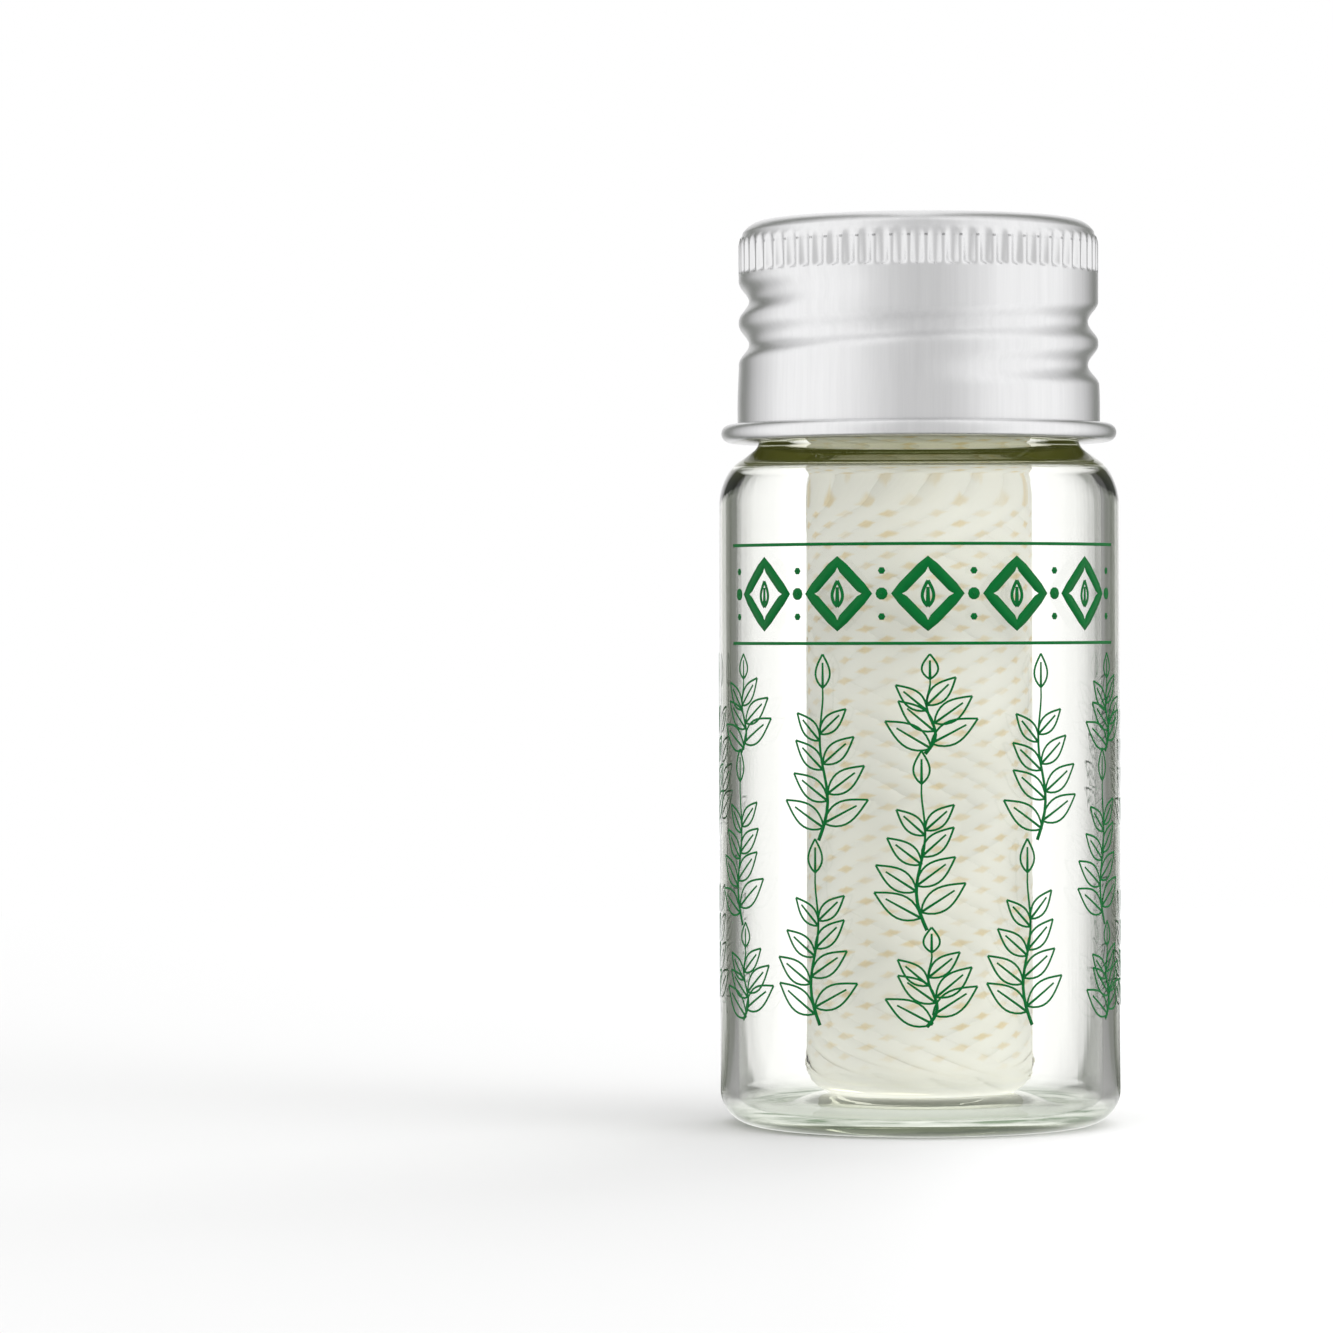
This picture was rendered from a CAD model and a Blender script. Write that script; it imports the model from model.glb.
import math
import random
import time

import bpy
import numpy as np
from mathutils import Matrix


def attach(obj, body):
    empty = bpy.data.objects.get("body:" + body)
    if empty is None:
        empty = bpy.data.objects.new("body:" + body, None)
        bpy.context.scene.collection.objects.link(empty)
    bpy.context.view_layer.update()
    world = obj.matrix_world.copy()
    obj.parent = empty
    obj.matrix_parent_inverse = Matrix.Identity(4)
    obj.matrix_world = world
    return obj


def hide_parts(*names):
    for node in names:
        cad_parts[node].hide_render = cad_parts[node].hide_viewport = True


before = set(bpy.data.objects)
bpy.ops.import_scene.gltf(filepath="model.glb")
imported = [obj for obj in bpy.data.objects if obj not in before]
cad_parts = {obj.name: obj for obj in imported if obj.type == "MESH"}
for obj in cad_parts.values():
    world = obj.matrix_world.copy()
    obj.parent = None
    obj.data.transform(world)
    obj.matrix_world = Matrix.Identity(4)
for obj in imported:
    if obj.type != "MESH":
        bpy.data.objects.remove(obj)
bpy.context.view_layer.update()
mm = 0.001
white = (1, 1, 1, 1)
startTime = time.time()


def report(*words):
    print(f"{time.time() - startTime:5.1f} s ", *words, flush=True)


report("frame loaded:", len(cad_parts), "nodes")


# the camera that took the photograph, in millimetres and degrees
view = {
    "distance": 390,      # from the vial's axis
    "aside": -17.03,      # the vial stands right of the picture's middle
    "height": 33.6,
    "pitch": -0.405,
    "roll": -0.17,
    "focal": 156.2,
    "sensor": 36,
    "nearest": 10,
    "farthest": 50000,
}
bpy.ops.object.camera_add(
    location=(view["aside"] * mm, -view["distance"] * mm, view["height"] * mm),
    rotation=(math.radians(90 + view["pitch"]), math.radians(-view["roll"]), 0),
)
camera = bpy.context.object
camera.name = "productCamera"
camera.data.lens = view["focal"]
camera.data.sensor_width = view["sensor"]
camera.data.clip_start = view["nearest"] * mm
camera.data.clip_end = view["farthest"] * mm
bpy.context.scene.camera = camera
report("camera set")


def deselectAll():
    if bpy.context.object and bpy.context.object.mode != "OBJECT":
        bpy.ops.object.mode_set(mode="OBJECT")
    bpy.ops.object.select_all(action="DESELECT")


def selectOnly(piece):
    deselectAll()
    piece.select_set(True)
    bpy.context.view_layer.objects.active = piece


def arcPoints(x, z, a, b, start, end, steps):
    angles = [math.radians(start + (end - start) * i / steps) for i in range(steps + 1)]
    return [(x + a * math.cos(t), z + b * math.sin(t)) for t in angles]


def linePoints(start, end, steps, first=1):
    # the points between two others, without those two, or with the start if first is 0
    return [(start[0] + (end[0] - start[0]) * i / steps, start[1] + (end[1] - start[1]) * i / steps)
            for i in range(first, steps)]


def weld(piece, distance):
    # joins points that lie closer than this, in millimetres, and turns all faces outwards
    selectOnly(piece)
    bpy.ops.object.mode_set(mode="EDIT")
    bpy.ops.mesh.select_all(action="SELECT")
    bpy.ops.mesh.remove_doubles(threshold=distance * mm)
    bpy.ops.mesh.normals_make_consistent(inside=False)
    bpy.ops.object.mode_set(mode="OBJECT")


def turnProfile(name, profile, steps):
    # turned on a lathe: one vertex is extruded along the profile, in millimetres,
    # and screwed once round the axis
    deselectAll()
    bpy.ops.mesh.primitive_plane_add(size=mm, location=(0, 0, 0))
    piece = bpy.context.object
    piece.name = name
    bpy.ops.object.mode_set(mode="EDIT")
    bpy.ops.mesh.select_all(action="SELECT")
    bpy.ops.mesh.merge(type="CENTER")
    bpy.ops.transform.translate(value=(profile[0][0] * mm, 0, profile[0][1] * mm))
    for a, b in zip(profile, profile[1:]):
        bpy.ops.mesh.extrude_region_move(
            TRANSFORM_OT_translate={"value": ((b[0] - a[0]) * mm, 0, (b[1] - a[1]) * mm)})
    bpy.ops.object.mode_set(mode="OBJECT")
    turned = piece.modifiers.new("turned", "SCREW")
    turned.axis = "Z"
    turned.angle = math.radians(360)
    turned.steps = turned.render_steps = steps
    bpy.ops.object.modifier_apply(modifier="turned")
    weld(piece, 0.001)
    return piece


def readPoints(piece):
    points = np.zeros(len(piece.data.vertices) * 3)
    piece.data.vertices.foreach_get("co", points)
    return points.reshape(-1, 3) / mm


def writePoints(piece, points):
    piece.data.vertices.foreach_set("co", (points * mm).ravel())
    piece.data.update()


def newCurve(name):
    curve = bpy.data.curves.new(name, "CURVE")
    curve.dimensions = "3D"
    curve.use_fill_caps = True
    return curve


def curveToMesh(curve):
    piece = bpy.data.objects.new(curve.name, curve)
    bpy.context.collection.objects.link(piece)
    selectOnly(piece)
    bpy.ops.object.convert(target="MESH")
    return bpy.context.object


def smoothShade(piece, angle=None):
    selectOnly(piece)
    if angle is None:
        bpy.ops.object.shade_smooth()
    else:
        bpy.ops.object.shade_smooth_by_angle(angle=math.radians(angle))


def dress(piece, material, body, nodes=()):
    piece.data.materials.clear()
    piece.data.materials.append(material)
    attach(piece, body)
    if nodes:
        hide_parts(*nodes)
    return piece


def fadedEnds(along, span, fade):
    # 0 at both ends of a thread and 1 between them
    grown = np.clip(np.minimum(along, span - along) / fade, 0, 1)
    return grown * grown * (3 - 2 * grown)


def newGroup(name, inputs, outputs):
    group = bpy.data.node_groups.new(name, "ShaderNodeTree")
    for label, kind, value in inputs:
        socket = group.interface.new_socket(
            name=label, in_out="INPUT", socket_type="NodeSocket" + kind)
        if value is not None:
            socket.default_value = value
    for label, kind in outputs:
        group.interface.new_socket(
            name=label, in_out="OUTPUT", socket_type="NodeSocket" + kind)
    return group, group.nodes.new("NodeGroupInput"), group.nodes.new("NodeGroupOutput")


def addNode(tree, kind, inputs=None, **settings):
    node = tree.nodes.new(kind)
    for key, value in settings.items():
        setattr(node, key, value)
    for key, value in (inputs or {}).items():
        if isinstance(value, bpy.types.NodeSocket):
            tree.links.new(value, node.inputs[key])
        else:
            node.inputs[key].default_value = value
    return node


def addRamp(tree, factor, stops):
    node = addNode(tree, "ShaderNodeValToRGB", {"Fac": factor})
    for i, (place, value) in enumerate(stops):
        stop = node.color_ramp.elements[i] if i < 2 else node.color_ramp.elements.new(place)
        stop.position = place
        stop.color = (value, value, value, 1) if isinstance(value, (int, float)) else (*value, 1)
    return node.outputs["Color"]


def addMath(tree, operation, a, b=0.0):
    return addNode(tree, "ShaderNodeMath", {0: a, 1: b}, operation=operation).outputs[0]


def addRange(tree, value, low, high, toLow=0.0, toHigh=1.0, interpolation="LINEAR"):
    return addNode(tree, "ShaderNodeMapRange", {
        "Value": value, "From Min": low, "From Max": high, "To Min": toLow, "To Max": toHigh},
        interpolation_type=interpolation).outputs[0]


def addMix(tree, factor, a, b, blend="MIX"):
    return addNode(tree, "ShaderNodeMix", {"Factor": factor, 6: a, 7: b},
                   data_type="RGBA", blend_type=blend).outputs[2]


def addNoise(tree, vector, scale, detail, roughness=0.5):
    return addNode(tree, "ShaderNodeTexNoise", {
        "Vector": vector, "Scale": scale, "Detail": detail, "Roughness": roughness}).outputs["Fac"]


def addBump(tree, height, strength, distance, under=None):
    # the distance is in millimetres
    inputs = {"Height": height, "Strength": strength, "Distance": distance * mm}
    if under:
        inputs["Normal"] = under
    return addNode(tree, "ShaderNodeBump", inputs).outputs[0]


def addBlend(tree, factor, first, second):
    return addNode(tree, "ShaderNodeMixShader", {
        0: factor, 1: first.outputs[0], 2: second.outputs[0]})


def addOutput(tree, surface, volume=None):
    output = addNode(tree, "ShaderNodeOutputMaterial", {"Surface": surface.outputs[0]})
    if volume:
        tree.links.new(volume.outputs[0], output.inputs["Volume"])


def split(tree, vector):
    return addNode(tree, "ShaderNodeSeparateXYZ", {0: vector}).outputs


def placeGroup(tree, group, **inputs):
    return addNode(tree, "ShaderNodeGroup", inputs, node_tree=group).outputs


def newMaterial(name):
    # an empty material, with its tree and the place on the piece
    material = bpy.data.materials.new(name)
    material.use_nodes = True
    tree = material.node_tree
    tree.nodes.clear()
    return material, tree, tree.nodes.new("ShaderNodeTexCoord").outputs["Object"]


def makeHairlines():
    # fine straight scratches, drawn out along one axis by the scale
    group, start, end = newGroup(
        "hairlines",
        [("Vector", "Vector", None), ("Scale", "Float", 3000.0),
         ("Stretch", "Vector", (1, 1, 0.02))],
        [("Lines", "Float"), ("Patches", "Float")])
    place, scale, stretch = (start.outputs[name] for name in ("Vector", "Scale", "Stretch"))
    drawn = addNode(group, "ShaderNodeVectorMath", {0: place, 1: stretch}, operation="MULTIPLY")
    group.links.new(addNoise(group, drawn.outputs[0], scale, 4.0, 0.65), end.inputs["Lines"])
    group.links.new(addNoise(group, place, 220.0, 3.0, 0.55), end.inputs["Patches"])
    return group


def makeMottle():
    # soft uneven tone, for a material that isn't perfectly even
    group, start, end = newGroup(
        "mottle",
        [("Vector", "Vector", None), ("Scale", "Float", 400.0),
         ("Light", "Color", white), ("Dark", "Color", (0.5, 0.5, 0.5, 1))],
        [("Color", "Color"), ("Fac", "Float")])
    noise = addNoise(group, start.outputs["Vector"], start.outputs["Scale"], 5.0, 0.6)
    spread = addRange(group, noise, 0.35, 0.65)
    mixed = addMix(group, spread, start.outputs["Dark"], start.outputs["Light"])
    group.links.new(mixed, end.inputs["Color"])
    group.links.new(spread, end.inputs["Fac"])
    return group


hairlines = makeHairlines()
mottle = makeMottle()
report("node groups ready")


studio = {
    "worldStrength": 1.15,
    "floorColor": 0.62,
    "floorLift": 0.065,   # keeps the open floor white
    "rightLift": 0.3,     # and the floor to the right of the vial
    "liftFrom": -10,      # millimetres across, from the one to the other
    "liftTo": 20,
    "bareHalf": 6,        # half the width of the floor that glass always shows white
    "bareReach": 13,      # and how far from the vial's axis
    "farFrom": 0.05,      # metres, where the floor takes on the backdrop's tone
    "farTo": 0.3,
    "glassShare": 1.0,    # how much of the floor that glass and metal show is the plain backdrop
    "floorSize": 6,
    # tones by the angle from the camera's side, in degrees
    "front": [(0, 0.64), (12, 0.64), (26, 0.74), (48, 1.0)],
    "sides": [(100, 1.05), (114, 0.8), (138, 0.45)],
    "sidesThrough": [(92, 1.0), (98, 0.3), (138, 0.23)],
    "behind": [(142, (0.13, 0.14, 0.12)), (158, (0.14, 0.15, 0.13)), (161, 0.66), (168, 0.92),
               (180, 1.0)],
    # place, size and strength; the one at the back throws the shadow forward and to the left
    "lamps": {
        "leftSoftbox": ((-0.42, -0.38, 0.16), (0.35, 0.3), 1.12),
        "rightSoftbox": ((0.46, -0.3, 0.18), (0.35, 0.3), 1.5),
        "backSoftbox": ((0.22, 0.42, 0.3), (0.3, 0.3), 1.5),
        "topSoftbox": ((0.0, -0.1, 0.7), (0.5, 0.4), 1.0),
    },
}


def makeStudioTone():
    # how bright the studio is round the vial
    # what glass lets through from the sides is darker, which draws the vial's edges
    group, start, end = newGroup(
        "studioTone", [("Direction", "Vector", None), ("Through", "Float", 0.0)],
        [("Tone", "Color")])
    x, y, _ = split(group, start.outputs["Direction"])
    angle = addMath(group, "ARCTAN2", x, addMath(group, "MULTIPLY", y, -1.0))
    share = addMath(group, "DIVIDE", addMath(group, "ABSOLUTE", angle), math.pi)
    ramps = []
    for sides in ("sides", "sidesThrough"):
        stops = studio["front"] + studio[sides] + studio["behind"]
        ramps.append(addRamp(group, share, [(degrees / 180, tone) for degrees, tone in stops]))
    group.links.new(addMix(group, start.outputs["Through"], *ramps), end.inputs[0])
    return group


def makeWorld():
    world = bpy.data.worlds.new("studioWorld")
    bpy.context.scene.world = world
    world.use_nodes = True
    tree = world.node_tree
    tree.nodes.clear()
    place = tree.nodes.new("ShaderNodeTexCoord").outputs["Generated"]
    path = tree.nodes.new("ShaderNodeLightPath").outputs
    tone = placeGroup(tree, studioTone, Direction=place, Through=path["Is Transmission Ray"])
    seen = addNode(tree, "ShaderNodeBackground", {"Color": white, "Strength": 1.0})
    lit = addNode(tree, "ShaderNodeBackground", {
        "Color": tone["Tone"], "Strength": studio["worldStrength"]})
    mixed = addBlend(tree, path["Is Camera Ray"], lit, seen)
    addNode(tree, "ShaderNodeOutputWorld", {"Surface": mixed.outputs[0]})


def makeFloorMaterial():
    material, tree, place = newMaterial("paleFloor")
    path = tree.nodes.new("ShaderNodeLightPath").outputs
    x, y, _ = split(tree, place)
    # the angle is taken past the vial's own width, so that the floor close behind it stays white
    aside = addMath(tree, "SUBTRACT", addMath(tree, "ABSOLUTE", x), studio["bareHalf"] * mm)
    way = addNode(tree, "ShaderNodeCombineXYZ", {0: addMath(tree, "MAXIMUM", aside, 0.0), 1: y})
    tone = placeGroup(tree, studioTone, Direction=way.outputs[0],
                      Through=path["Is Transmission Ray"])
    bounce = addMath(tree, "MAXIMUM", path["Is Glossy Ray"], path["Is Transmission Ray"])
    reach = addNode(tree, "ShaderNodeVectorMath", {0: place}, operation="LENGTH").outputs["Value"]
    bare = studio["bareReach"] * mm
    shown = addMath(tree, "MULTIPLY", bounce, addRange(tree, reach, bare, 2 * bare))
    color = addMix(tree, shown, white, tone["Tone"])
    base = addMix(tree, 1.0, color, (studio["floorColor"],) * 3 + (1,), "MULTIPLY")
    paint = addNode(tree, "ShaderNodeBsdfDiffuse", {"Color": base})
    seen = addMath(tree, "MAXIMUM", bounce, path["Is Camera Ray"])
    lift = addRange(tree, x, studio["liftFrom"] * mm, studio["liftTo"] * mm,
                    studio["floorLift"], studio["rightLift"], "SMOOTHSTEP")
    glow = addNode(tree, "ShaderNodeEmission", {
        "Color": color, "Strength": addMath(tree, "MULTIPLY", seen, lift)})
    both = addNode(tree, "ShaderNodeAddShader", {0: paint.outputs[0], 1: glow.outputs[0]})
    # far off, and where glass or metal shows it, the floor has the backdrop's own tone
    far = addRange(tree, reach, studio["farFrom"], studio["farTo"])
    share = addMath(tree, "MAXIMUM", far, addMath(tree, "MULTIPLY", bounce, studio["glassShare"]))
    level = addMath(tree, "MAXIMUM", path["Is Camera Ray"],
                    addMath(tree, "MULTIPLY", bounce, studio["worldStrength"]))
    plain = addNode(tree, "ShaderNodeEmission", {"Color": color, "Strength": level})
    addOutput(tree, addBlend(tree, share, both, plain))
    return material


def makeFloor():
    deselectAll()
    bpy.ops.mesh.primitive_plane_add(size=studio["floorSize"], location=(0, 0, 0))
    floor = bpy.context.object
    floor.name = "studioFloor"
    floor.data.materials.append(makeFloorMaterial())


def addLamp(name, place, size, strength):
    bpy.ops.object.light_add(type="AREA", location=place)
    lamp = bpy.context.object
    lamp.name = name
    lamp.data.shape = "RECTANGLE"
    lamp.data.size, lamp.data.size_y = size
    lamp.data.energy = strength
    aim = -lamp.location.normalized()
    lamp.rotation_euler = aim.to_track_quat("-Z", "Y").to_euler()
    lamp.visible_camera = False
    lamp.visible_glossy = False
    lamp.visible_transmission = False
    return lamp


studioTone = makeStudioTone()
makeWorld()
makeFloor()
deselectAll()
for lampName, (lampPlace, lampSize, lampStrength) in studio["lamps"].items():
    addLamp(lampName, lampPlace, lampSize, lampStrength)
scene = bpy.context.scene
scene.view_settings.view_transform = "Standard"
scene.cycles.use_denoising = True
scene.cycles.max_bounces = 24
scene.cycles.transmission_bounces = 20
scene.cycles.transparent_max_bounces = 16
scene.cycles.caustics_reflective = False
report("studio ready")


vialGlass = {
    "bodyR": 13.48,       # the print lies on it, inside the CAD model's 13.5
    "innerR": 12.3,
    "neckR": 10.75,
    "boreR": 8.9,
    "rimTop": 59.19,
    "rimRound": 0.4,
    "heelR": 11.1,        # middle of the ring that the vial stands on
    "heelRise": 2.4,
    "ringHalf": 0.35,     # half the width of that ring
    "puntR": 6.2,         # the raised middle of the foot is flat up to here
    "puntIn": 0.7,        # and ends this far inside the ring's middle
    "puntRise": 1.0,
    "floorThick": 1.1,
    "innerCorner": 1.2,
    "neckZ": 46.1,        # where the straight neck begins
    "fillet": 0.94,       # radius between the neck and the shoulder
    "shoulderTurn": 64,   # degrees of the outer shoulder's curve
    "shoulderAcross": 2.35,
    "shoulderRise": 3.5,
    "innerSlope": 0.5,    # the thick glass under the neck lies almost level inside
    "innerSlopeR": 10.3,
    "innerSlopeZ": 44.15,
    "innerAcross": 0.8,   # of the inner shoulder's curve
    "innerRise": 0.8,
    "innerFillet": 0.9,
    "tint": (0.86, 0.93, 0.45),
    "density": 30.0,
    "footTone": (0.75, 0.77, 0.74),
    "footStreak": (0.04, 0.08, 0.04),
    "footSide": (0.1, 0.12, 0.09),
    "footGlow": (0.034, 0.041, 0.024),
    "grazed": (0.2, 0.2, 0.2),
    "neckTone": (0.9, 0.88, 0.74),
    "neckGlow": (0.012, 0.0126, 0.0028),
    "steps": 256,
}
screwThread = {
    "height": 1.0,
    "width": 1.7,
    "pitch": 2.9,
    "turns": 1.5,
    "startAngle": -90,
    "startZ": 51.75,
    "fade": 40,
    "low": 50,            # the part of the neck that it may stand on
    "high": 57.6,
    "round": 0.8,
}


def vialProfile():
    v = vialGlass
    fillet = v["fillet"]
    turn = math.radians(v["shoulderTurn"])
    slope = math.atan2(v["shoulderRise"] * math.cos(turn), v["shoulderAcross"] * math.sin(turn))
    filletR = v["neckR"] + fillet * (1 - math.sin(slope))
    filletZ = v["neckZ"] - fillet * math.cos(slope)
    curveR = v["bodyR"] - v["shoulderAcross"] * (1 - math.cos(turn))
    curveZ = filletZ - (curveR - filletR) * math.tan(slope)
    shoulderZ = curveZ - v["shoulderRise"] * math.sin(turn)
    # inside, the curve from the wall meets a nearly level slope, and that the bore
    inSlope = math.radians(v["innerSlope"])
    inTurn = math.atan2(v["innerRise"] * math.cos(inSlope), v["innerAcross"] * math.sin(inSlope))
    inCurveR = v["innerR"] - v["innerAcross"] * (1 - math.cos(inTurn))
    inCurveZ = v["innerSlopeZ"] - (inCurveR - v["innerSlopeR"]) * math.tan(inSlope)
    inShoulderZ = inCurveZ - v["innerRise"] * math.sin(inTurn)
    inFilletR = v["boreR"] + v["innerFillet"] * (1 - math.sin(inSlope))
    inFilletZ = v["innerSlopeZ"] + (v["innerSlopeR"] - inFilletR) * math.tan(inSlope)
    boreZ = inFilletZ + v["innerFillet"] * math.cos(inSlope)
    heelR, rim, corner, thick = v["heelR"], v["rimRound"], v["innerCorner"], v["floorThick"]
    reach = heelR - v["puntIn"] - v["puntR"]

    def punt(z, steps=12):
        return [(v["puntR"] + reach * i / steps,
                 z + v["puntRise"] / 2 * (1 + math.cos(math.pi * i / steps)))
                for i in range(steps + 1)]

    outside = [(0, v["puntRise"]), (3, v["puntRise"])] + punt(0)
    outside += [(heelR - v["ringHalf"], 0)]
    outside += arcPoints(heelR, v["heelRise"], v["bodyR"] - heelR, v["heelRise"], -90, 0, 14)
    outside += linePoints(outside[-1], (v["bodyR"], shoulderZ), 8)
    outside += arcPoints(v["bodyR"] - v["shoulderAcross"], shoulderZ,
                         v["shoulderAcross"], v["shoulderRise"], 0, v["shoulderTurn"], 18)
    outside += arcPoints(v["neckR"] + fillet, v["neckZ"],
                         fillet, fillet, 270 - math.degrees(slope), 180, 10)
    # close rows where the thread is raised
    outside += [(v["neckR"], 48), (v["neckR"], 49.5)]
    outside += [(v["neckR"], 50.6 + 0.14 * i) for i in range(49)]
    outside += arcPoints(v["neckR"] - rim, v["rimTop"] - rim, rim, rim, 0, 90, 6)
    inside = arcPoints(v["boreR"] + rim, v["rimTop"] - rim, rim, rim, 90, 180, 6)
    inside += linePoints((v["boreR"], v["rimTop"] - rim), (v["boreR"], boreZ), 5)
    inside += arcPoints(v["boreR"] + v["innerFillet"], boreZ,
                        v["innerFillet"], v["innerFillet"], 180, 270 - v["innerSlope"], 10)
    inside += arcPoints(v["innerR"] - v["innerAcross"], inShoulderZ,
                        v["innerAcross"], v["innerRise"], math.degrees(inTurn), 0, 22)
    inside += linePoints((v["innerR"], inShoulderZ), (v["innerR"], thick + corner), 8)
    inside += arcPoints(v["innerR"] - corner, thick + corner, corner, corner, 0, -90, 10)
    inside += [(heelR - v["ringHalf"], thick)]
    inside += punt(thick)[::-1] + [(3, thick + v["puntRise"]), (0, thick + v["puntRise"])]
    return outside + inside


def raiseThread(piece):
    t = screwThread
    points = readPoints(piece)
    radius = np.hypot(points[:, 0], points[:, 1])
    angle = np.degrees(np.arctan2(points[:, 1], points[:, 0]))
    z = points[:, 2]
    onNeck = (np.abs(radius - vialGlass["neckR"]) < 0.01) & (z > t["low"]) & (z < t["high"])
    span = 360 * t["turns"]
    push = np.zeros(len(points))
    for turn in (-1, 0, 1, 2):
        along = angle + 360 * turn - t["startAngle"]
        away = np.abs(z - t["startZ"] - t["pitch"] * along / 360) / (t["width"] / 2)
        ridge = np.cos(np.clip(away, 0, 1) * math.pi / 2) ** t["round"]
        push = np.maximum(push, t["height"] * fadedEnds(along, span, t["fade"]) * ridge)
    grow = 1 + np.where(onNeck, push / np.maximum(radius, 1), 0)
    points[:, 0] *= grow
    points[:, 1] *= grow
    writePoints(piece, points)


def makeGlassMaterial():
    v = vialGlass
    material, tree, place = newMaterial("clearGlass")
    drawn = placeGroup(tree, hairlines, Vector=place, Scale=900.0, Stretch=(1, 1, 0.012))
    bump = addBump(tree, drawn["Lines"], 0.12, 0.04)
    x, y, z = split(tree, place)
    height = addMath(tree, "DIVIDE", z, 60 * mm)

    def byHeight(*stops):
        return addRamp(tree, height, [(at / 60, shade) for at, shade in stops])

    # the glass is greener where it is thick, at the foot and round the neck
    tone = byHeight((0.3, v["footTone"]), (1.3, v["footTone"]), (2.6, 1), (44.35, 1),
                    (44.55, v["neckTone"]), (45.1, v["neckTone"]), (45.3, 1))
    # the drawn foot has green streaks round its lowest edge
    turn = addMath(tree, "ARCTAN2", y, x)
    ring = addNode(tree, "ShaderNodeCombineXYZ", {
        0: addMath(tree, "MULTIPLY", turn, 1.6), 1: addMath(tree, "MULTIPLY", height, 160.0)})
    streak = addRange(tree, addNoise(tree, ring.outputs[0], 1.3, 3.0), 0.42, 0.6)
    low = addRange(tree, z, 1.4 * mm, 0.7 * mm)
    squares = [addMath(tree, "POWER", side, 2.0) for side in (x, y)]
    out = addMath(tree, "SQRT", addMath(tree, "ADD", *squares))
    outer = addRange(tree, out, 10.9 * mm, 11.4 * mm)
    heel = addMath(tree, "MULTIPLY", low, outer)
    streaked = addMix(tree, addMath(tree, "MULTIPLY", streak, heel), tone, (*v["footStreak"], 1))
    # and is darker where it is seen along its curve
    facing = addNode(tree, "ShaderNodeLayerWeight", {"Blend": 0.5}).outputs["Facing"]
    side = addMath(tree, "POWER", facing, 2.2)
    bottom = addRange(tree, z, 3.0 * mm, 1.6 * mm)
    edged = addMix(tree, addMath(tree, "MULTIPLY", side, bottom), streaked, (*v["footSide"], 1))
    # a little of the light that is trapped in the thick foot and neck comes out again
    trapped = byHeight((0.9, v["footGlow"]), (1.6, 0), (42.8, 0), (44.2, v["neckGlow"]),
                       (49, v["neckGlow"]), (54, 0))
    glass = addNode(tree, "ShaderNodeBsdfPrincipled", {
        "Base Color": edged, "Roughness": 0.0, "IOR": 1.52, "Transmission Weight": 1.0,
        "Normal": bump, "Emission Color": trapped, "Emission Strength": 1.0})
    # light that grazes the glass is mostly turned aside, so that the vial has a shadow
    turned = addMath(tree, "POWER", facing, 2.0)
    veil = addMix(tree, turned, (0.99, 0.99, 0.985, 1), (*v["grazed"], 1))
    clear = addNode(tree, "ShaderNodeBsdfTransparent", {"Color": veil})
    path = tree.nodes.new("ShaderNodeLightPath").outputs
    depth = addNode(tree, "ShaderNodeVolumeAbsorption", {
        "Color": (*v["tint"], 1), "Density": v["density"]})
    addOutput(tree, addBlend(tree, path["Is Shadow Ray"], glass, clear), depth)
    return material


vial = turnProfile("vialGlass", vialProfile(), vialGlass["steps"])
raiseThread(vial)
smoothShade(vial)
dress(vial, makeGlassMaterial(), "vial", ["glass_vial"])
report("vial turned:", len(vial.data.polygons), "faces")


capSheet = {
    "outerR": 12.1,
    "skirtR": 12.2,
    "sheet": 0.25,
    "top": 60.8,
    "corner": 1.75,
    "fluteCount": 66,
    "fluteFoot": 57.3,
    "fluteHead": 59.25,
    "fluteDeep": 0.31,    # at the foot of the flutes
    "fluteShallow": 0.12,  # under the rounded corner
    "fluteHalf": 0.36,    # half a flute's width, as a share of the distance between flutes
    "grooveDepth": 0.7,
    "grooveWidth": 2.697,
    "grooveTurns": 2,
    "grooveStart": -103,  # degrees
    "grooveZ": 50.35,     # at -90 degrees
    "pitch": 2.9,
    "grooveFade": 60,
    "grooveLow": 48.6,    # the rows that it is rolled into
    "grooveHigh": 57.1,
    "flareZ": 51,         # from here down the wall widens to the skirt
    "flareRise": 2.2,
    "beadX": 12.625,
    "beadZ": 46.51,
    "beadW": 1.35,
    "beadH": 1.22,
}
fluteSteps = [-0.5, -0.4, -0.32, -0.17, 0, 0.17, 0.32, 0.4]


def capProfile():
    c = capSheet
    corner, top, sheet = c["corner"], c["top"], c["sheet"]
    profile = [(0, top), (5, top), (8.5, top)]
    profile += arcPoints(c["outerR"] - corner, top - corner, corner, corner, 90, 0, 14)
    fluteRows = (59.2, 58.8, 58.4, 58.0, 57.7, 57.52, 57.4, 57.3, 57.2, 57.08)
    profile += [(c["outerR"], z) for z in fluteRows]
    profile += [(c["outerR"], 56.95 - 0.155 * i) for i in range(int(8 / 0.155) + 1)]
    profile += [(c["skirtR"], 48.4), (c["skirtR"], 47.7), (c["skirtR"], 47.2)]
    # the sheet runs down, out and round in the bead, and comes back inside
    x, z, a, b = c["beadX"], c["beadZ"], c["beadW"] / 2, c["beadH"] / 2
    profile += arcPoints(x, z, a - sheet, b - sheet, 180, 505, 22)
    profile += arcPoints(x, z, a, b, 505, 180, 28)
    innerR = c["skirtR"] - sheet
    profile += [(innerR, 47.6), (innerR, 48.4)]
    profile += [(c["outerR"] - sheet, 48.98 + 0.27 * i) for i in range(30)]
    profile += [(c["outerR"] - sheet, z) for z in (57.08, 57.3, 57.52, 58.2, 59.0)]
    inner = corner - sheet
    profile += arcPoints(c["outerR"] - corner, top - corner, inner, inner, 0, 90, 6)
    profile += [(6, top - sheet), (0, top - sheet)]
    return profile


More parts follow.
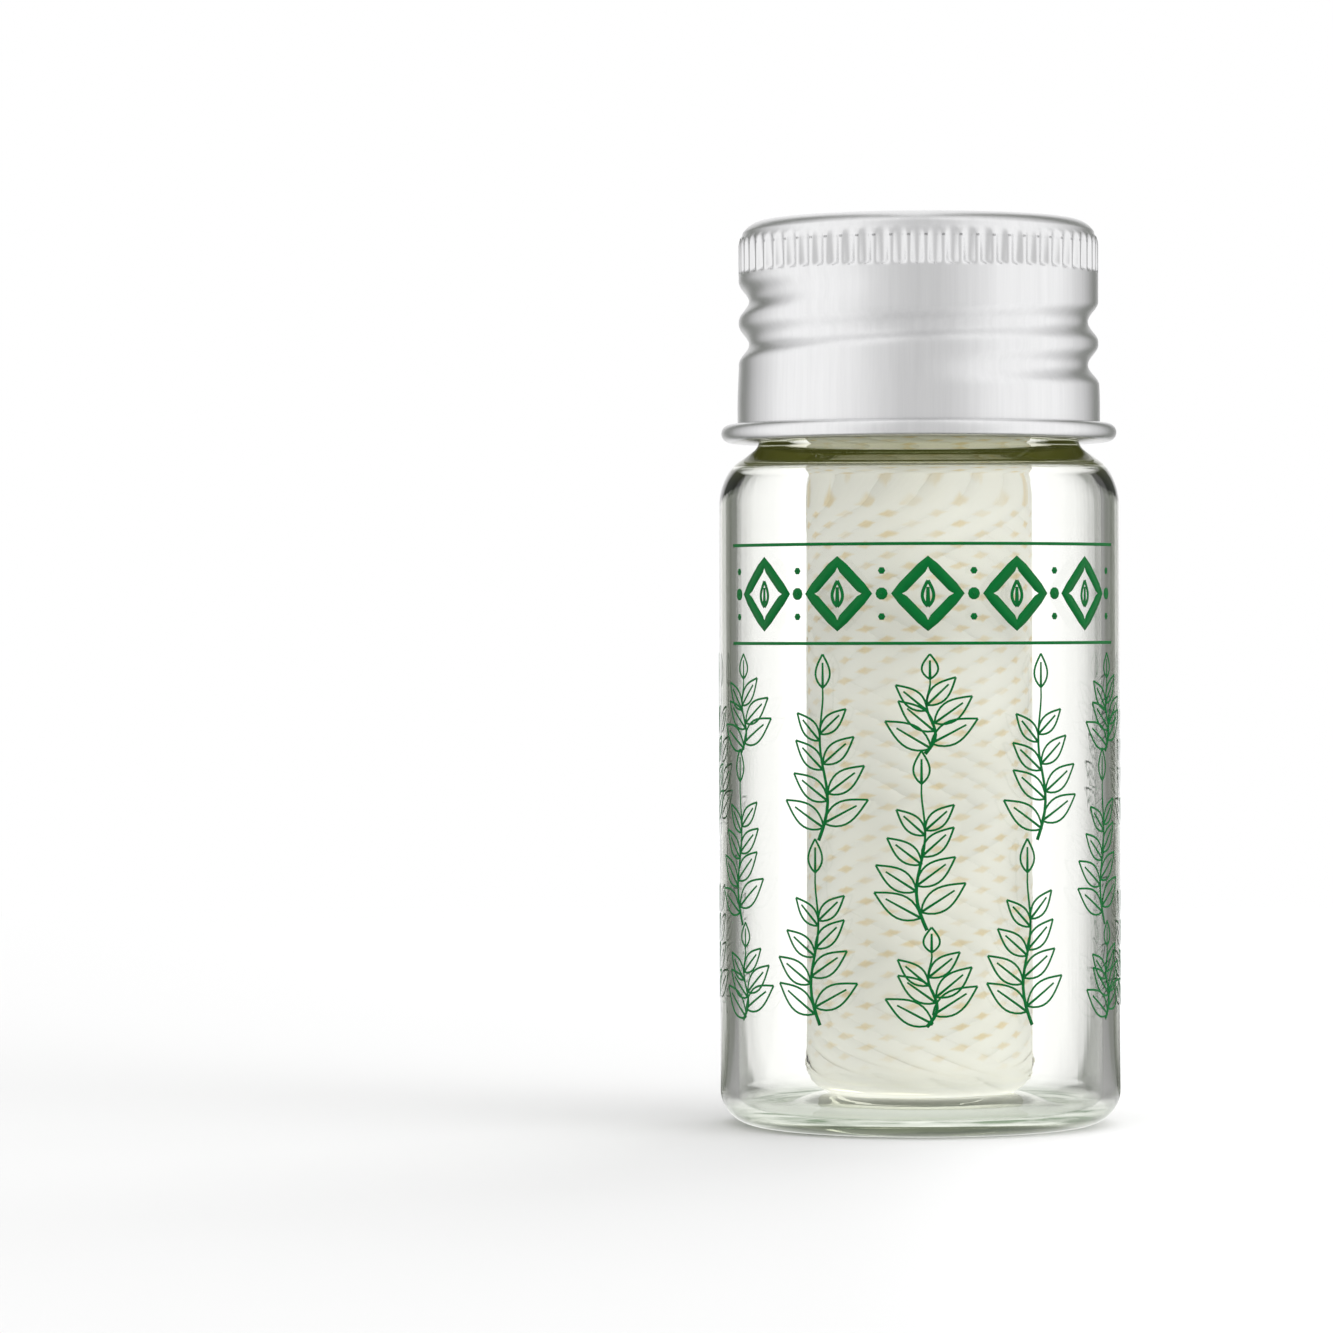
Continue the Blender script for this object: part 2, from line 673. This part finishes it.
def shapeCap(piece):
    # spaces the columns by the flutes, presses the flutes in and rolls the screw groove
    c = capSheet
    points = readPoints(piece)
    radius = np.hypot(points[:, 0], points[:, 1])
    angle = np.arctan2(points[:, 1], points[:, 0])
    z = points[:, 2]
    columns = c["fluteCount"] * len(fluteSteps)
    column = np.round(angle / (2 * math.pi) * columns).astype(int) % columns
    place = np.array(fluteSteps)[column % len(fluteSteps)]
    angle = (column // len(fluteSteps) + place) / c["fluteCount"] * 2 * math.pi
    degrees = np.degrees(angle)
    inner = radius < c["outerR"] - c["sheet"] * 0.5
    # flutes
    rise = np.clip((z - c["fluteFoot"]) / (60.0 - c["fluteFoot"]), 0, 1)
    deep = c["fluteDeep"] + (c["fluteShallow"] - c["fluteDeep"]) * rise
    deep *= np.clip((z - c["fluteFoot"] + 0.1) / 0.3, 0, 1) ** 0.7
    over = np.clip((z - c["fluteHead"]) / 0.55, 0, 1)
    hollow = np.clip(1 - (np.abs(place) / c["fluteHalf"]) ** 2 - over ** 2, 0, 1) ** 0.8
    wall = c["outerR"] - np.where(inner, c["sheet"], 0) - deep * hollow
    onSide = (z > 57) & (radius > 9)
    radius = np.where(onSide, np.minimum(radius, wall), radius)
    # groove
    push = np.zeros(len(points))
    span = 360 * c["grooveTurns"]
    for turn in (-1, 0, 1, 2):
        along = degrees + 360 * turn - c["grooveStart"]
        middle = c["grooveZ"] + c["pitch"] * (degrees + 360 * turn + 90) / 360
        away = np.clip(np.abs(z - middle) / (c["grooveWidth"] / 2), 0, 1)
        hollow = np.cos(away * math.pi / 2) ** 2
        push = np.maximum(push, c["grooveDepth"] * fadedEnds(along, span, c["grooveFade"]) * hollow)
    inBand = (z < c["grooveHigh"]) & (z > c["grooveLow"])
    flare = (c["skirtR"] - c["outerR"]) * np.clip((c["flareZ"] - z) / c["flareRise"], 0, 1)
    radius = np.where(inBand, radius + flare - push, radius)
    points[:, 0] = radius * np.cos(angle)
    points[:, 1] = radius * np.sin(angle)
    writePoints(piece, points)


def makeMetal(name, scale, stretch, tones, rough, bump):
    # metal with fine lines; rough names the pattern and its range, and the roughness it gives
    material, tree, place = newMaterial(name)
    lines = placeGroup(tree, hairlines, Vector=place, Scale=scale, Stretch=stretch)
    pattern, *levels = rough
    metal = addNode(tree, "ShaderNodeBsdfPrincipled", {
        "Base Color": addRamp(tree, lines["Lines"], list(zip((0.3, 0.7), tones))),
        "Metallic": 1.0, "Roughness": addRange(tree, lines[pattern], *levels),
        "Normal": addBump(tree, lines["Lines"], bump, 0.01)})
    addOutput(tree, metal)
    return material


cap = turnProfile("capShell", capProfile(), capSheet["fluteCount"] * len(fluteSteps))
shapeCap(cap)
smoothShade(cap, 50)
aluminium = makeMetal("spunAluminium", 2600.0, (1, 1, 0.03),
                      ((0.72, 0.72, 0.725), (0.775, 0.775, 0.78)),
                      ("Patches", 0.0, 1.0, 0.28, 0.34), 0.15)
dress(cap, aluminium, "cap", ["screw_cap"])
report("cap pressed and rolled:", len(cap.data.polygons), "faces")


flossPackage = {
    "coreR": 7.46,        # under the strands
    "round": 2.0,
    "foot": 2.34,         # of the surface under the strands
    "head": 51.86,
    "hollowR": 3.0,
    "halfWidth": 0.78,    # neighbours overlap a little
    "halfThick": 0.036,
    "crown": 1.8,         # how high a strand stands, in half thicknesses
    "rideMean": 0.88,     # it rides on the mean of what lies under it, and a little on the highest
    "rideTop": 0.12,
    "rise": 3.2,          # millimetres up in a radian round
    "passes": 15,         # up, and as many down
    "stepsPerTurn": 72,
    "reach": 3.6,         # how far past the straight side the passes would meet
    "endTurns": 3,        # on each end face
    "seed": 4,
    "fleckTone": (0.83, 0.68, 0.37),
    "fleckLong": 0.5,     # sizes as shares of the distance between passes
    "fleckHigh": 0.44,
    "fleckLean": 0.3,
}


def sideLength():
    f = flossPackage
    return f["head"] - f["foot"] - 2 * f["round"]


def surfaceAt(s):
    # the package's side view: s runs up the side from the lower corner, and on round both corners
    f = flossPackage
    past = np.where(s < 0, -s, np.where(s > sideLength(), s - sideLength(), 0))
    turn = np.minimum(past / f["round"], math.pi / 2)
    flat = np.maximum(past - f["round"] * math.pi / 2, 0)
    radius = f["coreR"] - f["round"] + f["round"] * np.cos(turn) - flat
    side = np.where(s < 0, -1.0, 1.0)
    base = f["foot"] + f["round"] + np.clip(s, 0, sideLength())
    z = base + side * f["round"] * np.sin(turn)
    return radius, z, np.cos(turn), side * np.sin(turn)


def windPlan():
    # the lowest and highest place, the rise in a radian, and the angle that half a cycle takes
    f = flossPackage
    low, high = -f["reach"], sideLength() + f["reach"]
    # a full cycle closes one strand's place past whole turns
    cycle = 2 * (high - low) / f["rise"]
    wanted = 2 * math.pi * (round(cycle / (2 * math.pi)) + 1 / f["passes"])
    return low, high, 2 * (high - low) / wanted, wanted / 2


def windPath():
    # one strand, up and down: each pass lies beside the one before it
    f = flossPackage
    rng = random.Random(f["seed"])
    low, high, rise, half = windPlan()
    step = 2 * math.pi / f["stepsPerTurn"]
    bends = [rng.uniform(0.75, 1.5) for _ in range(2 * f["passes"] + 1)]
    angles, places = [], []
    # in from the hollow over the lower end face
    inner = -f["round"] * math.pi / 2 - 1.7
    count = f["endTurns"] * f["stepsPerTurn"]
    entry = low + rise * bends[0] / 2
    for i in range(count):
        angles.append(-(count - i) * step)
        places.append(inner + (entry - inner) * (i / count) ** 1.15)
    for i in range(int(half * 2 * f["passes"] / step) + 1):
        at = i * step
        n = int(at // half)
        t = at - n * half
        s = rise * t
        before, after = bends[n], bends[min(n + 1, len(bends) - 1)]
        if t < before:
            s = rise * (before * before + t * t) / (2 * before)
        elif half - t < after:
            s = rise * half - rise * (after * after + (half - t) ** 2) / (2 * after)
        angles.append(at)
        places.append(low + s if n % 2 == 0 else high - s)
    last, place = angles[-1], places[-1]
    for i in range(1, count + 1):
        angles.append(last + i * step)
        places.append(place + (inner - place) * (i / count) ** 0.9)
    return np.array(angles), np.array(places)


def layStrand(angles, places):
    # lays the strand on a grid of heights, so that it rides over what lies there already
    f = flossPackage
    columns, rows = 600, 1300
    sLow, sHigh = -6.0, sideLength() + 6.0
    heights = np.zeros((columns, rows))
    sStep = (sHigh - sLow) / rows
    radius = surfaceAt(places)[0]
    around = np.gradient(angles) * radius
    along = np.gradient(places)
    size = np.hypot(around, along)
    dirA, dirS = around / size, along / size
    lift = np.zeros(len(angles))
    block = 36
    window = np.array([1, 3, 5, 6, 5, 3, 1]) / 24
    spanS = int(math.ceil(0.65 / sStep))
    for start in range(0, len(angles), block):
        end = min(start + block, len(angles))
        cells = []
        for i in range(start, end):
            spanA = int(math.ceil(0.7 / radius[i] / (2 * math.pi) * columns))
            ci = int(round(angles[i] / (2 * math.pi) * columns))
            ri = int(round((places[i] - sLow) / sStep))
            ca = np.arange(ci - spanA, ci + spanA + 1)
            rs = np.clip(np.arange(ri - spanS, ri + spanS + 1), 0, rows - 1)
            da = (ca / columns * 2 * math.pi - angles[i]) * radius[i]
            ds = sLow + rs * sStep - places[i]
            t = da[:, None] * dirA[i] + ds[None, :] * dirS[i]
            q = -da[:, None] * dirS[i] + ds[None, :] * dirA[i]
            touched = (np.abs(t) < size[i] * 0.75) & (np.abs(q) < f["halfWidth"])
            grid = np.ix_(ca % columns, rs)
            under = heights[grid][touched]
            lift[i] = f["rideMean"] * under.mean() + f["rideTop"] * under.max()
            cells.append((grid, touched, q))
        # a taut strand bridges small steps
        first = max(0, start - 8)
        padded = np.pad(lift[first:end], 3, mode="edge")
        lift[start:end] = np.convolve(padded, window, mode="valid")[start - first:]
        for i, (grid, touched, q) in zip(range(start, end), cells):
            across = np.clip(1 - (q / f["halfWidth"]) ** 2, 0, 1) ** 0.8
            crown = lift[i] + f["crown"] * f["halfThick"] * across
            patch = heights[grid]
            heights[grid] = np.where(touched, np.maximum(patch, crown), patch)
    return lift


def tapeSection():
    # the flat section of the strand: thickness along x, width along y
    f = flossPackage
    deselectAll()
    bpy.ops.curve.primitive_bezier_circle_add(radius=1)
    section = bpy.context.object
    bpy.ops.object.mode_set(mode="EDIT")
    bpy.ops.curve.subdivide(number_cuts=1)
    bpy.ops.curve.spline_type_set(type="POLY")
    bpy.ops.object.mode_set(mode="OBJECT")
    for point in section.data.splines[0].points:
        x, y = point.co[0], point.co[1]
        # thin at its edges, like a lens
        point.co[0] = math.copysign(abs(x) ** 1.6, x) * f["halfThick"] * mm
        point.co[1] = y * f["halfWidth"] * mm
    return section


def makeStrand():
    f = flossPackage
    angles, places = windPath()
    lift = layStrand(angles, places)
    radius, z, outR, outZ = surfaceAt(places)
    height = lift + f["halfThick"] * 0.9
    points = np.ones((len(angles), 4))
    points[:, 0] = (radius + outR * height) * np.cos(angles) * mm
    points[:, 1] = (radius + outR * height) * np.sin(angles) * mm
    points[:, 2] = (z + outZ * height) * mm
    curve = newCurve("flossStrand")
    curve.twist_mode = "Z_UP"
    spline = curve.splines.new("POLY")
    spline.points.add(len(angles) - 1)
    spline.points.foreach_set("co", points.ravel())
    spline.points.foreach_set("tilt", -np.arctan2(outZ, outR))
    section = tapeSection()
    curve.bevel_mode = "OBJECT"
    curve.bevel_object = section
    strand = curveToMesh(curve)
    bpy.data.objects.remove(section)
    # how far along and across the strand each place is, for its material
    sides = 8
    rings = len(angles)
    middle = points[:, :3] / mm
    steps = np.linalg.norm(np.diff(middle, axis=0), axis=1)
    travel = np.concatenate([[0], np.cumsum(steps)])
    tangent = np.gradient(middle, axis=0)
    tangent /= np.linalg.norm(tangent, axis=1)[:, None]
    normal = np.stack([outR * np.cos(angles), outR * np.sin(angles), outZ], axis=1)
    side = np.cross(tangent, normal)
    spots = readPoints(strand)[:rings * sides].reshape(rings, sides, 3)
    across = ((spots - middle[:, None]) * side[:, None]).sum(axis=2) / f["halfWidth"]
    for name, value in (("travel", np.repeat(travel, sides)), ("across", across.ravel())):
        values = np.zeros(len(strand.data.vertices), dtype=np.float32)
        values[:rings * sides] = value
        attribute = strand.data.attributes.new(name, "FLOAT", "POINT")
        attribute.data.foreach_set("value", values)
    weld(strand, 0.002)
    return strand


def coreProfile():
    f = flossPackage
    low, high, corner, r = f["foot"], f["head"], f["round"], f["coreR"]
    profile = [(f["hollowR"], low)]
    profile += arcPoints(r - corner, low + corner, corner, corner, -90, 0, 10)
    profile += linePoints((r, low + corner), (r, high - corner), 6)
    profile += arcPoints(r - corner, high - corner, corner, corner, 0, 90, 10)
    profile += [(f["hollowR"], high), (f["hollowR"], low)]
    return profile


def makeCrossings():
    # how close a place is to where the gaps between up passes and between down passes cross
    f = flossPackage
    low, high, rise, half = windPlan()
    k = f["passes"] / (2 * math.pi)
    base = f["foot"] + f["round"]
    group, start, end = newGroup(
        "crossings", [("Vector", "Vector", None), ("Wander", "Float", 0.0)], [("Fleck", "Float")])
    x, y, z = split(group, start.outputs["Vector"])
    angle = addMath(group, "ARCTAN2", y, x)
    climb = addMath(group, "DIVIDE", z, rise * mm)

    def fromGap(sign, shift):
        # 0 midway between two passes of one kind, and half a unit at their middles
        way = addMath(group, "ADD", addMath(group, "MULTIPLY", climb, sign), shift)
        turned = addMath(group, "MULTIPLY", addMath(group, "SUBTRACT", way, angle), k)
        phase = addMath(group, "ADD", turned, start.outputs["Wander"])
        return addMath(group, "SUBTRACT", addMath(group, "FRACT", phase), 0.5)

    def share(distance, reach):
        return addMath(group, "DIVIDE", addMath(group, "ABSOLUTE", distance), reach)

    up = fromGap(1.0, -(base + low) / rise)
    down = fromGap(-1.0, (base + high) / rise + half)
    aside = addMath(group, "ADD", up, down)
    leaning = addMath(group, "ADD", addMath(group, "SUBTRACT", up, down),
                      addMath(group, "MULTIPLY", aside, f["fleckLean"]))
    both = addMath(group, "ADD", share(aside, f["fleckLong"]), share(leaning, f["fleckHigh"]))
    lens = addMath(group, "SUBTRACT", 1.0, both)
    fleck = addRange(group, lens, -0.2, 0.6, interpolation="SMOOTHSTEP")
    group.links.new(fleck, end.inputs["Fleck"])
    return group


def makeFlossMaterial(name, light, dark, fleckShare):
    f = flossPackage
    material, tree, place = newMaterial(name)
    tone = placeGroup(tree, mottle, Vector=place, Scale=240.0, Light=(*light, 1), Dark=(*dark, 1))
    # tan flecks where the strands leave a hole, stronger in some places, and none on the ends
    wander = addRange(tree, addNoise(tree, place, 700.0, 4.0, 0.65), 0.0, 1.0, -0.2, 0.2)
    crossing = placeGroup(tree, crossings, Vector=place, Wander=wander)
    strength = addRange(tree, addNoise(tree, place, 330.0, 1.0), 0.34, 0.6, 0.3, 1.0)
    z = split(tree, place)["Z"]
    fromEnd = addMath(tree, "MINIMUM",
                      addMath(tree, "SUBTRACT", z, (f["foot"] + f["round"]) * mm),
                      addMath(tree, "SUBTRACT", (f["head"] - f["round"]) * mm, z))
    onSide = addRange(tree, fromEnd, -0.5 * mm, 2 * mm)
    shown = addMath(tree, "MULTIPLY", addMath(tree, "MULTIPLY", crossing["Fleck"], strength),
                    addMath(tree, "MULTIPLY", onSide, fleckShare))
    warm = addMix(tree, shown, tone["Color"], (*f["fleckTone"], 1))
    # filaments run along the strand
    travel, across = (addNode(tree, "ShaderNodeAttribute", attribute_name=label).outputs["Fac"]
                      for label in ("travel", "across"))
    grid = addNode(tree, "ShaderNodeCombineXYZ", {
        0: addMath(tree, "MULTIPLY", travel, 0.35), 1: addMath(tree, "MULTIPLY", across, 3.0)})
    fibres = addNoise(tree, grid.outputs[0], 2.2, 4.0, 0.6)
    # and each strand is rounded
    fallen = addMath(tree, "POWER", addMath(tree, "ABSOLUTE", across), 2.0)
    crown = addBump(tree, addMath(tree, "SUBTRACT", 1.0, fallen), 1.0, 0.15)
    # the glass foot lights the package from below
    near = addMath(tree, "POWER", addRange(tree, z, 4.4 * mm, 2.3 * mm), 4.0)
    cloth = addNode(tree, "ShaderNodeBsdfPrincipled", {
        "Base Color": warm, "Emission Color": warm,
        "Emission Strength": addMath(tree, "MULTIPLY", near, 0.6),
        "Roughness": 0.75, "Sheen Weight": 0.15, "Sheen Roughness": 0.5,
        "Normal": addBump(tree, fibres, 0.35, 0.03, crown)})
    addOutput(tree, cloth)
    return material


crossings = makeCrossings()
strand = makeStrand()
smoothShade(strand, 60)
creamFloss = makeFlossMaterial("creamFloss", (0.95, 0.945, 0.87), (0.94, 0.93, 0.84), 0.8)
dress(strand, creamFloss, "package", ["floss_winding"])
core = turnProfile("flossInside", coreProfile(), 96)
smoothShade(core, 50)
deepFloss = makeFlossMaterial("deepFloss", (0.94, 0.92, 0.82), (0.92, 0.88, 0.74), 1.0)
dress(core, deepFloss, "package", ["floss_core"])
report("floss wound:", len(strand.data.polygons), "faces")


vialPrint = {
    "radius": 13.484,
    "wrapR": 13.5,        # turns millimetres across the drawing into angles round the glass
    "relief": 0.012,
    "line": 0.08,         # half the width of the fine lines
    "rib": 0.13,
    "bold": 0.42,
    "sprigColumns": 7,
    "columnStep": 7.4,    # millimetres round the vial
    "sprigFoot": 7.4,
    "sprigHead": 30.6,
    "bandLow": 32.7,
    "bandHigh": 38.6,
    "bandHalf": 15.2,     # half the band's length round the vial
    "lozenges": 5,
    "ink": (0.0, 0.115, 0.022),
    "seed": 11,
}


def leafLines(x, z, length, width, angle, line):
    # an almond outline with a midrib, growing from (x, z)
    c, s = math.cos(math.radians(angle)), math.sin(math.radians(angle))
    place = lambda u, v: (x + u * c - v * s, z + u * s + v * c)
    bulge = lambda t: width / 2 * math.sin(math.pi * t ** 0.85) * (1 - 0.15 * t)
    edges = [[(*place(length * i / 10, side * bulge(i / 10)), line) for i in range(11)]
             for side in (1, -1)]
    rib = [(*place(length * t, 0), line * (1.25 - 0.5 * t)) for t in (0, 0.25, 0.5, 0.75)]
    return edges + [rib]


def sprigLines(x, low, high, lean, rng):
    # an upright sprig with paired leaves that get smaller towards a bud
    p = vialPrint
    height = high - low
    sway = lambda t: x + lean * (0.5 * math.sin(math.pi * t) + 0.35 * math.sin(2.4 * math.pi * t))
    lines = [[(sway(i / 16), low + height * 0.9 * i / 16, p["rib"] * (1.1 - 0.6 * i / 16))
              for i in range(17)]]
    pairs = max(3, round(height / 2.9))
    for k in range(pairs):
        t = 0.1 + 0.76 * k / pairs
        z = low + height * 0.9 * t
        size = 3.5 - 1.3 * k / pairs
        for side in (1, -1):
            up = 30 + 18 * k / pairs + rng.uniform(-4, 4)
            angle = up if side > 0 else 180 - up
            foot = z + 0.3 * side * rng.uniform(0.4, 1)
            lines += leafLines(sway(t), foot, size, size * 0.46, angle, p["line"])
    lines += leafLines(sway(1), low + height * 0.9, height * 0.1 + 1.1, 1.15, 90, p["line"])
    return lines


def ringLine(x, z, r, half, steps):
    return [(*spot, half) for spot in arcPoints(x, z, r, r, 0, 360, steps)]


def lozengeLine(x, z, a, b, half):
    corners = [(x + a, z), (x, z + b), (x - a, z), (x, z - b)]
    line = []
    for start, end in zip(corners, corners[1:] + corners[:1]):
        line += [(*spot, half) for spot in linePoints(start, end, 5, first=0)]
    return line + [line[0]]


def printLines():
    p = vialPrint
    rng = random.Random(p["seed"])
    lines = []
    middle = (p["bandLow"] + p["bandHigh"]) / 2
    gap = 2 * p["bandHalf"] / p["lozenges"]
    for i in range(p["lozenges"]):
        x = -p["bandHalf"] + gap * (i + 0.5)
        lines.append(lozengeLine(x, middle, 2.05, 2.1, p["bold"]))
        lines += leafLines(x, middle - 0.85, 1.7, 0.8, 90, p["line"] * 1.6)
    for i in range(p["lozenges"] + 1):
        x = -p["bandHalf"] + gap * i
        lines.append(ringLine(x, middle, 0.2, 0.24, 10))
        for side in (1, -1):
            lines.append(ringLine(x, middle + side * 1.5, 0.1, 0.17, 6))
    border = p["bandHalf"] + 1
    for z in (p["bandLow"] - 0.3, p["bandHigh"] + 0.3):
        steps = 90
        lines.append([(-border + 2 * border * i / steps, z, p["line"] * 1.5)
                      for i in range(steps + 1)])
    half = (p["sprigColumns"] - 1) / 2
    for column in range(p["sprigColumns"]):
        x = (column - half) * p["columnStep"]
        low, high = p["sprigFoot"], p["sprigHead"]
        if column % 2 == 0:
            cuts = [(low, (low + high) / 2 - 0.5), ((low + high) / 2 + 0.5, high)]
        else:
            part = (high - low) / 4
            cuts = [(low, low + part - 0.4), (low + part + 0.5, high - part - 0.5),
                    (high - part + 0.4, high)]
        for i, (a, b) in enumerate(cuts):
            lean = 1 if (i + column) % 2 else -1
            lines += sprigLines(x + rng.uniform(-0.25, 0.25), a, b, lean, rng)
    return lines


def makePrint():
    # the lines are drawn flat, in the plane y = 0, and then laid round the glass
    p = vialPrint
    curve = newCurve("vialPrint")
    curve.bevel_depth = mm
    curve.bevel_resolution = 1
    for line in printLines():
        spline = curve.splines.new("POLY")
        if math.dist(line[0][:2], line[-1][:2]) < 0.001:
            line = line[:-1]
            spline.use_cyclic_u = True
        spline.points.add(len(line) - 1)
        for point, (x, z, half) in zip(spline.points, line):
            point.co = (x * mm, 0, z * mm, 1)
            point.radius = half
    drawing = curveToMesh(curve)
    points = readPoints(drawing)
    angle = points[:, 0] / p["wrapR"]
    radius = p["radius"] + np.clip(-points[:, 1] * 0.3, -p["relief"], p["relief"])
    laid = np.stack([radius * np.sin(angle), -radius * np.cos(angle), points[:, 2]], axis=1)
    writePoints(drawing, laid)
    weld(drawing, 0.0005)
    return drawing


def makeInkMaterial():
    material, tree, place = newMaterial("greenInk")
    light, dark = ((*[c * share for c in vialPrint["ink"]], 1) for share in (1.06, 0.95))
    tone = placeGroup(tree, mottle, Vector=place, Scale=2200.0, Light=light, Dark=dark)
    paint = addNode(tree, "ShaderNodeBsdfPrincipled", {
        "Base Color": tone["Color"], "Roughness": addRange(tree, tone["Fac"], 0.0, 1.0, 0.3, 0.38),
        "Specular IOR Level": 0.1})
    addOutput(tree, paint)
    return material


drawing = makePrint()
smoothShade(drawing)
dress(drawing, makeInkMaterial(), "vial")
report("print laid:", len(drawing.data.polygons), "faces")


def makeFoamMaterial():
    material, tree, place = newMaterial("linerFoam")
    tone = placeGroup(tree, mottle, Vector=place, Scale=700.0,
                      Light=(0.93, 0.92, 0.88, 1), Dark=(0.88, 0.87, 0.82, 1))
    cells = addNode(tree, "ShaderNodeTexVoronoi", {"Vector": place, "Scale": 3500.0})
    foam = addNode(tree, "ShaderNodeBsdfPrincipled", {
        "Base Color": tone["Color"], "Roughness": 0.65,
        "Normal": addBump(tree, cells.outputs["Distance"], 0.4, 0.05)})
    addOutput(tree, foam)
    return material


# the liner and the cutter plate keep the shapes of their solids
steel = makeMetal("brushedSteel", 2200.0, (0.03, 1, 1), ((0.66, 0.67, 0.69), (0.78, 0.79, 0.81)),
                  ("Lines", 0.3, 0.7, 0.24, 0.36), 0.3)
for node, material in (("cap_liner", makeFoamMaterial()), ("cutter_insert", steel)):
    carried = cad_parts[node].data
    carried.materials.clear()
    carried.materials.append(material)
report("liner and plate dressed")
